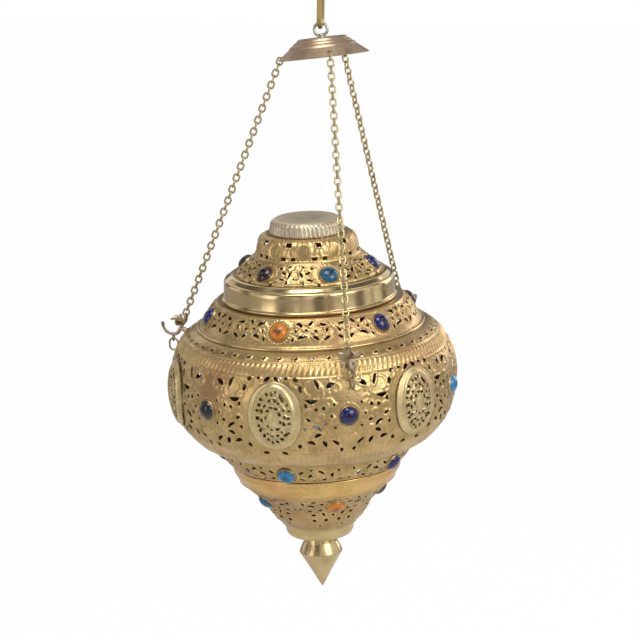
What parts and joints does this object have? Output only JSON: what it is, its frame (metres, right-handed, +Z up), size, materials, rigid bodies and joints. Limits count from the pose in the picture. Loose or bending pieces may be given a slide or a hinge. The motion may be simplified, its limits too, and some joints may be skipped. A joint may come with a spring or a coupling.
{
  "type": "hanging lamp",
  "caption": "Hanging candle lamp in pierced, chased brass: domed lid, round belly with glass cabochons and oval medallions, stepped base and finial, on chains from a small canopy.",
  "frame": {"origin": "inside of the hanging link's top bend, where a ceiling hook carries the lamp", "axes": "+Z up and plumb, -Y towards the side that the picture shows, +X to its right; the lamp's own axis leans a little because it hangs off its canopy's middle"},
  "size_m": [0.3005, 0.297, 0.6103],
  "materials": {
    "worn_brass": "drawn brass, dulled by handling",
    "rose_brass": "spun brass with a pinkish brown bloom",
    "steel_wire": "bright bent wire",
    "polished_brass": "spun and polished, with fine turning lines",
    "pierced_brass": "chased, pierced and lightly patinated",
    "medallion_brass": "stamped sheet, bright on the high parts and dark in the ground",
    "cast_brass": "cast brass, grey brown and worn",
    "chain_brass": "pale drawn wire",
    "clear_glass": "clear pressed glass",
    "teal_glass": "moulded cabochon, glossy",
    "cobalt_glass": "moulded cabochon, glossy",
    "garnet_glass": "moulded cabochon, glossy",
    "amber_glass": "moulded cabochon, glossy",
    "smoke_glass": "moulded cabochon, glossy",
    "sky_glass": "moulded cabochon, glossy"
  },
  "bodies": {
    "hanger": {"hanging_link": "worn_brass"},
    "lamp": {"shoulder_jewel_1": "amber_glass", "shoulder_jewel_2": "cobalt_glass", "shoulder_jewel_3": "garnet_glass", "shoulder_jewel_4": "sky_glass", "shoulder_jewel_5": "teal_glass", "shoulder_jewel_6": "cobalt_glass", "belly_jewel_1": "cobalt_glass", "belly_jewel_2": "sky_glass", "belly_jewel_3": "amber_glass", "belly_jewel_4": "cobalt_glass", "belly_jewel_5": "garnet_glass", "belly_jewel_6": "smoke_glass", "lower_jewel_1": "sky_glass", "lower_jewel_2": "cobalt_glass", "lower_jewel_3": "garnet_glass", "lower_jewel_4": "teal_glass", "lower_jewel_5": "smoke_glass", "base_jewel_1": "amber_glass", "base_jewel_2": "smoke_glass", "base_jewel_3": "cobalt_glass", "base_jewel_4": "amber_glass", "base_jewel_5": "teal_glass", "canopy_plate": "rose_brass", "canopy_eye": "steel_wire", "canopy_nut": "worn_brass", "shoulder": "pierced_brass", "belly": "pierced_brass", "lower_tier": "pierced_brass", "lower_collar": "polished_brass", "base_tier": "pierced_brass", "finial": "polished_brass", "finial_stud": "steel_wire", "candle_tray": "worn_brass", "candle_glass": "clear_glass", "medallion_1": "medallion_brass", "medallion_2": "medallion_brass", "medallion_3": "medallion_brass", "medallion_4": "medallion_brass", "medallion_5": "medallion_brass", "medallion_6": "medallion_brass", "hook_front": "cast_brass", "chain_front": "chain_brass", "hook_right": "cast_brass", "chain_right": "chain_brass", "hook_left": "cast_brass", "chain_left": "chain_brass"},
    "lid": {"crown_cap": "polished_brass", "lid_dome": "pierced_brass", "lid_collar": "polished_brass", "lid_jewel_1": "teal_glass", "lid_jewel_2": "cobalt_glass", "lid_jewel_3": "amber_glass", "lid_jewel_4": "sky_glass", "lid_jewel_5": "smoke_glass", "lid_jewel_6": "garnet_glass"},
    "drop_ring_front_body": {"drop_ring_front": "cast_brass"},
    "drop_ring_right_body": {"drop_ring_right": "cast_brass"},
    "drop_ring_left_body": {"drop_ring_left": "cast_brass"}
  },
  "joints": [
    {"name": "lamp_swing", "type": "hinge", "parent": "hanger", "child": "lamp", "pos_m": [0, 0, -0.03325], "axis": [0, 1, 0], "range_deg": [-25, 25]},
    {"name": "lid_lift", "type": "slide", "parent": "lamp", "child": "lid", "axis": [-0.0593, 0, 0.9982], "range_m": [0, 0.035]},
    {"name": "drop_ring_front_swing", "type": "hinge", "parent": "lamp", "child": "drop_ring_front_body", "pos_m": [0.03404, -0.13948, -0.34533], "axis": [0.2584, -0.9659, 0.0153], "range_deg": [-35, 35]},
    {"name": "drop_ring_right_swing", "type": "hinge", "parent": "lamp", "child": "drop_ring_right_body", "pos_m": [0.09866, 0.10211, -0.34149], "axis": [0.7059, 0.7071, 0.0419], "range_deg": [-35, 35]},
    {"name": "drop_ring_left_swing", "type": "hinge", "parent": "lamp", "child": "drop_ring_left_body", "pos_m": [-0.1425, 0.03737, -0.35582], "axis": [-0.9642, 0.2588, -0.0573], "range_deg": [-35, 35]}
  ]
}
